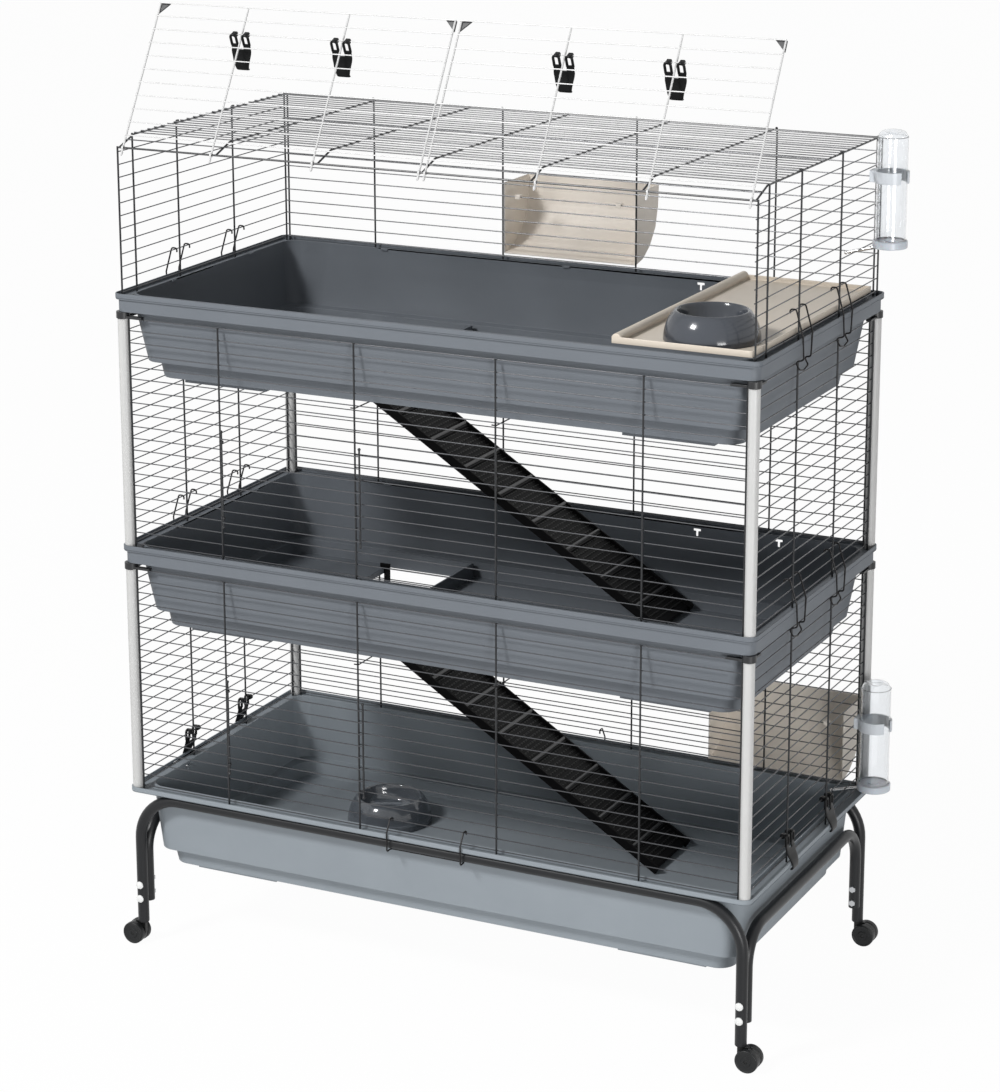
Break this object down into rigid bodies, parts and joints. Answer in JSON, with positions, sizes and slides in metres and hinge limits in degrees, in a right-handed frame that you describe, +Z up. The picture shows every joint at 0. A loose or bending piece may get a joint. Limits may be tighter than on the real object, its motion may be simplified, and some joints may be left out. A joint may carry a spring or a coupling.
{
  "type": "rabbit cage",
  "caption": "Tall multi-storey wire rabbit cage with stacked plastic trays, ramps between the storeys, opening roof-side doors, feeding shelf and a wheeled tube stand.",
  "frame": {"origin": "on the floor under the middle of the trays", "axes": "+X along the cage to the right, +Y to the back, +Z up"},
  "size_m": [1.251, 0.6779, 1.6711],
  "materials": {
    "base_tray_plastic": "satin moulded, mid grey",
    "tray_plastic": "satin moulded, dark grey",
    "stand_paint": "semi-gloss black powder coat",
    "bolt_cap_plastic": "pale push-on caps",
    "post_paint": "pale satin tube",
    "connector_plastic": "black moulded",
    "wire_paint": "black coated wire",
    "door_wire_paint": "pale coated wire",
    "clip_plastic": "black moulded",
    "ramp_plastic": "black moulded, fine texture",
    "beige_plastic": "satin moulded, beige",
    "bowl_plastic": "glossy dark grey",
    "clear_bowl_plastic": "smoky translucent",
    "bottle_plastic": "clear",
    "holder_plastic": "pale grey, slightly translucent",
    "spout_steel": "bright drawn tube",
    "caster_plastic": "black moulded",
    "wheel_plastic": "black moulded tread"
  },
  "bodies": {
    "cage": {"tray_bottom": "base_tray_plastic", "tray_middle": "tray_plastic", "tray_top": "tray_plastic", "stand_front_tube": "stand_paint", "stand_rear_tube": "stand_paint", "stand_left_tube": "stand_paint", "stand_right_tube": "stand_paint", "stand_bolts": "bolt_cap_plastic", "corner_posts": "post_paint", "post_connectors": "connector_plastic", "roof_panel": "wire_paint", "wire_clips": "wire_paint", "tie_rods": "wire_paint", "bottle_holders": "holder_plastic", "bottle_lower": "bottle_plastic", "bottle_cap_lower": "holder_plastic", "bottle_spout_lower": "spout_steel", "bottle_top": "bottle_plastic", "bottle_cap_top": "holder_plastic", "bottle_spout_top": "spout_steel", "panel_lower_front": "wire_paint", "panel_lower_rear": "wire_paint", "panel_lower_left": "wire_paint", "panel_lower_right": "wire_paint", "panel_middle_front": "wire_paint", "panel_middle_rear": "wire_paint", "panel_middle_left": "wire_paint", "panel_middle_right": "wire_paint", "panel_top_rear": "wire_paint", "panel_top_left": "wire_paint", "panel_top_right": "wire_paint"},
    "caster_front_left": {"caster_front_left": "caster_plastic"},
    "wheels_front_left": {"wheels_front_left": "wheel_plastic"},
    "caster_front_right": {"caster_front_right": "caster_plastic"},
    "wheels_front_right": {"wheels_front_right": "wheel_plastic"},
    "caster_rear_left": {"caster_rear_left": "caster_plastic"},
    "wheels_rear_left": {"wheels_rear_left": "wheel_plastic"},
    "caster_rear_right": {"caster_rear_right": "caster_plastic"},
    "wheels_rear_right": {"wheels_rear_right": "wheel_plastic"},
    "top_door_left": {"top_door_left": "door_wire_paint", "door_caps_left": "clip_plastic"},
    "door_clip_left_inner": {"door_clip_left_inner": "clip_plastic"},
    "door_clip_left_outer": {"door_clip_left_outer": "clip_plastic"},
    "top_door_right": {"top_door_right": "door_wire_paint", "door_caps_right": "clip_plastic"},
    "door_clip_right_inner": {"door_clip_right_inner": "clip_plastic"},
    "door_clip_right_outer": {"door_clip_right_outer": "clip_plastic"},
    "small_door_lower": {"small_door_lower": "wire_paint"},
    "small_door_middle": {"small_door_middle": "wire_paint"},
    "tray_clip_left_front": {"tray_clip_left_front": "clip_plastic"},
    "tray_clip_left_rear": {"tray_clip_left_rear": "clip_plastic"},
    "tray_clip_right_front": {"tray_clip_right_front": "clip_plastic"},
    "tray_clip_right_rear": {"tray_clip_right_rear": "clip_plastic"},
    "ramp_lower": {"ramp_lower": "ramp_plastic"},
    "ramp_upper": {"ramp_upper": "ramp_plastic"},
    "shelf": {"shelf": "beige_plastic"},
    "bowl_shelf": {"bowl_shelf": "bowl_plastic"},
    "bowl_floor": {"bowl_floor": "clear_bowl_plastic"},
    "hay_rack_top": {"hay_rack_top": "beige_plastic"},
    "hay_rack_lower": {"hay_rack_lower": "beige_plastic"}
  },
  "joints": [
    {"name": "caster_front_left_swivel", "type": "hinge", "parent": "cage", "child": "caster_front_left", "pos_m": [-0.575, -0.2795, 0.042], "axis": [0, 0, 1], "continuous": true},
    {"name": "wheels_front_left_spin", "type": "hinge", "parent": "caster_front_left", "child": "wheels_front_left", "pos_m": [-0.59, -0.2795, 0.02], "axis": [0, 1, 0], "continuous": true},
    {"name": "caster_front_right_swivel", "type": "hinge", "parent": "cage", "child": "caster_front_right", "pos_m": [0.575, -0.2795, 0.042], "axis": [0, 0, 1], "continuous": true},
    {"name": "wheels_front_right_spin", "type": "hinge", "parent": "caster_front_right", "child": "wheels_front_right", "pos_m": [0.59, -0.2795, 0.02], "axis": [0, 1, 0], "continuous": true},
    {"name": "caster_rear_left_swivel", "type": "hinge", "parent": "cage", "child": "caster_rear_left", "pos_m": [-0.575, 0.2795, 0.042], "axis": [0, 0, 1], "continuous": true},
    {"name": "wheels_rear_left_spin", "type": "hinge", "parent": "caster_rear_left", "child": "wheels_rear_left", "pos_m": [-0.59, 0.2795, 0.02], "axis": [0, 1, 0], "continuous": true},
    {"name": "caster_rear_right_swivel", "type": "hinge", "parent": "cage", "child": "caster_rear_right", "pos_m": [0.575, 0.2795, 0.042], "axis": [0, 0, 1], "continuous": true},
    {"name": "wheels_rear_right_spin", "type": "hinge", "parent": "caster_rear_right", "child": "wheels_rear_right", "pos_m": [0.59, 0.2795, 0.02], "axis": [0, 1, 0], "continuous": true},
    {"name": "top_door_left_hinge", "type": "hinge", "parent": "cage", "child": "top_door_left", "pos_m": [0, -0.2795, 1.441], "axis": [1, 0, 0], "range_deg": [0, 205]},
    {"name": "door_clip_left_inner_swing", "type": "hinge", "parent": "top_door_left", "child": "door_clip_left_inner", "pos_m": [-0.20133, -0.17444, 1.62837], "axis": [1, 0, 0], "range_deg": [-15, 128]},
    {"name": "door_clip_left_outer_swing", "type": "hinge", "parent": "top_door_left", "child": "door_clip_left_outer", "pos_m": [-0.39367, -0.17444, 1.62837], "axis": [1, 0, 0], "range_deg": [-15, 128]},
    {"name": "top_door_right_hinge", "type": "hinge", "parent": "cage", "child": "top_door_right", "pos_m": [0, -0.2795, 1.441], "axis": [1, 0, 0], "range_deg": [0, 205]},
    {"name": "door_clip_right_inner_swing", "type": "hinge", "parent": "top_door_right", "child": "door_clip_right_inner", "pos_m": [0.20133, -0.17444, 1.62837], "axis": [1, 0, 0], "range_deg": [-15, 128]},
    {"name": "door_clip_right_outer_swing", "type": "hinge", "parent": "top_door_right", "child": "door_clip_right_outer", "pos_m": [0.39367, -0.17444, 1.62837], "axis": [1, 0, 0], "range_deg": [-15, 128]},
    {"name": "small_door_lower_hinge", "type": "hinge", "parent": "cage", "child": "small_door_lower", "pos_m": [-0.3854, -0.2833, 0.439], "axis": [0, 0, -1], "range_deg": [0, 95]},
    {"name": "small_door_middle_hinge", "type": "hinge", "parent": "cage", "child": "small_door_middle", "pos_m": [-0.3854, -0.2833, 0.885], "axis": [0, 0, -1], "range_deg": [0, 95]},
    {"name": "tray_clip_left_front_swing", "type": "hinge", "parent": "cage", "child": "tray_clip_left_front", "pos_m": [-0.5743, -0.093, 0.34323], "axis": [0, 1, 0], "range_deg": [0, 140]},
    {"name": "tray_clip_left_rear_swing", "type": "hinge", "parent": "cage", "child": "tray_clip_left_rear", "pos_m": [-0.5743, 0.093, 0.34323], "axis": [0, 1, 0], "range_deg": [0, 140]},
    {"name": "tray_clip_right_front_swing", "type": "hinge", "parent": "cage", "child": "tray_clip_right_front", "pos_m": [0.5743, -0.093, 0.34323], "axis": [0, -1, 0], "range_deg": [0, 140]},
    {"name": "tray_clip_right_rear_swing", "type": "hinge", "parent": "cage", "child": "tray_clip_right_rear", "pos_m": [0.5743, 0.093, 0.34323], "axis": [0, -1, 0], "range_deg": [0, 140]},
    {"name": "ramp_lower_lift", "type": "hinge", "parent": "cage", "child": "ramp_lower", "pos_m": [-0.3527, 0.145, 0.5973], "axis": [0, -1, 0], "range_deg": [0, 20]},
    {"name": "ramp_upper_lift", "type": "hinge", "parent": "cage", "child": "ramp_upper", "pos_m": [-0.3527, 0.145, 1.0433], "axis": [0, -1, 0], "range_deg": [0, 20]},
    {"name": "shelf_lift", "type": "slide", "parent": "cage", "child": "shelf", "axis": [0, 0, 1], "range_m": [0, 0.025]},
    {"name": "bowl_shelf_lift", "type": "slide", "parent": "shelf", "child": "bowl_shelf", "axis": [0, 0, 1], "range_m": [0, 0.04]},
    {"name": "bowl_floor_lift", "type": "slide", "parent": "cage", "child": "bowl_floor", "axis": [0, 0, 1], "range_m": [0, 0.04]},
    {"name": "hay_rack_top_lift", "type": "slide", "parent": "cage", "child": "hay_rack_top", "axis": [0, 0, 1], "range_m": [0, 0.012]},
    {"name": "hay_rack_lower_lift", "type": "slide", "parent": "cage", "child": "hay_rack_lower", "axis": [0, 0, 1], "range_m": [0, 0.012]}
  ]
}
